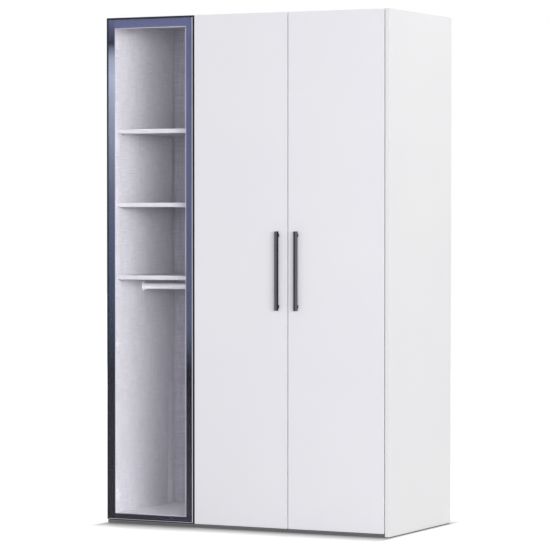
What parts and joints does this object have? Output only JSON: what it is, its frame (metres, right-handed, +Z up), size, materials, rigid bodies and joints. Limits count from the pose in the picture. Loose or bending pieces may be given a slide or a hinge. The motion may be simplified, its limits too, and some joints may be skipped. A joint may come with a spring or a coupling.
{
  "type": "wardrobe",
  "caption": "Tall white wardrobe with a framed glass door beside a pair of plain doors with bar handles, holding shelves and hanging rails.",
  "frame": {"origin": "middle of the footprint's bounding box, on the floor", "axes": "+X to the right seen from the front, +Y from the front to the back, +Z up"},
  "size_m": [1.29, 0.644, 2.1],
  "materials": {
    "white_lacquered_board": "satin white lacquer on board",
    "pale_interior_board": "matt pale linen-grey laminate on board",
    "grey_back_board": "matt grey laminate on thin board",
    "dark_anodised_aluminium": "dark anodised extrusion",
    "grey_anodised_aluminium": "grey anodised extrusion",
    "handle_metal": "dark grey satin coated metal",
    "clear_glass": "clear toughened glass",
    "dark_glass_enamel": "dark blue-grey enamel behind glass",
    "black_rubber": "black glazing rubber",
    "grey_plastic": "moulded grey plastic",
    "clear_buffer_plastic": "soft translucent plastic",
    "beech_dowel": "fluted beech",
    "rail_metal": "satin silver tube",
    "cast_aluminium": "plain cast aluminium",
    "plated_steel": "nickel-plated steel"
  },
  "bodies": {
    "carcase": {"connecting_bolts": "plated_steel", "connecting_sleeves": "plated_steel", "door_buffers": "clear_buffer_plastic", "end_panel": "white_lacquered_board", "end_panel_screws": "plated_steel", "floor_glides": "grey_plastic", "glass_hinge_arms": "plated_steel", "glass_hinge_plates": "plated_steel", "glass_unit_back": "grey_back_board", "glass_unit_bottom": "pale_interior_board", "glass_unit_inner_side": "pale_interior_board", "glass_unit_plinth": "grey_anodised_aluminium", "glass_unit_rail": "rail_metal", "glass_unit_rail_sockets": "rail_metal", "glass_unit_top": "pale_interior_board", "hat_shelf": "pale_interior_board", "left_side_panel": "white_lacquered_board", "lower_shelf": "pale_interior_board", "middle_hinge_arms": "plated_steel", "middle_hinge_plates": "plated_steel", "middle_shelf": "pale_interior_board", "pair_unit_back": "grey_back_board", "pair_unit_bottom": "pale_interior_board", "pair_unit_inner_side": "pale_interior_board", "pair_unit_outer_side": "pale_interior_board", "pair_unit_plinth": "grey_anodised_aluminium", "pair_unit_rail": "rail_metal", "pair_unit_rail_sockets": "rail_metal", "pair_unit_top": "pale_interior_board", "panel_dowels": "beech_dowel", "push_latch_body": "grey_plastic", "right_hinge_arms": "plated_steel", "right_hinge_plates": "plated_steel", "shelf_pins": "plated_steel", "upper_shelf": "pale_interior_board", "wall_bracket_screws": "plated_steel", "wall_brackets": "plated_steel"},
    "glass_door": {"hinge_stile": "dark_anodised_aluminium", "closing_stile": "dark_anodised_aluminium", "top_rail": "dark_anodised_aluminium", "bottom_rail": "dark_anodised_aluminium", "corner_cleats": "cast_aluminium", "glass_pane": "clear_glass", "glass_border": "dark_glass_enamel", "glazing_gasket": "black_rubber", "push_latch_strike": "plated_steel", "glass_hinge_housings": "plated_steel", "glass_hinge_pins": "plated_steel"},
    "middle_door": {"middle_door_panel": "white_lacquered_board", "middle_handle": "handle_metal", "middle_handle_screws": "plated_steel", "middle_hinge_cups": "plated_steel", "middle_hinge_pins": "plated_steel"},
    "right_door": {"right_door_panel": "white_lacquered_board", "right_handle": "handle_metal", "right_handle_screws": "plated_steel", "right_hinge_cups": "plated_steel", "right_hinge_pins": "plated_steel"},
    "latch_plunger": {"push_latch_plunger": "grey_plastic"}
  },
  "joints": [
    {"name": "glass_door_hinge", "type": "hinge", "parent": "carcase", "child": "glass_door", "pos_m": [-0.635, -0.288, 1.058], "axis": [0, 0, -1], "range_deg": [0, 105]},
    {"name": "middle_door_hinge", "type": "hinge", "parent": "carcase", "child": "middle_door", "pos_m": [-0.221, -0.289, 1.058], "axis": [0, 0, -1], "range_deg": [0, 105]},
    {"name": "right_door_hinge", "type": "hinge", "parent": "carcase", "child": "right_door", "pos_m": [0.613, -0.289, 1.058], "axis": [0, 0, 1], "range_deg": [0, 105]},
    {"name": "latch_press", "type": "slide", "parent": "carcase", "child": "latch_plunger", "axis": [0, 1, 0], "range_m": [0, 0.0035], "stiffness_N_per_m": 400, "springref_m": -0.004}
  ]
}
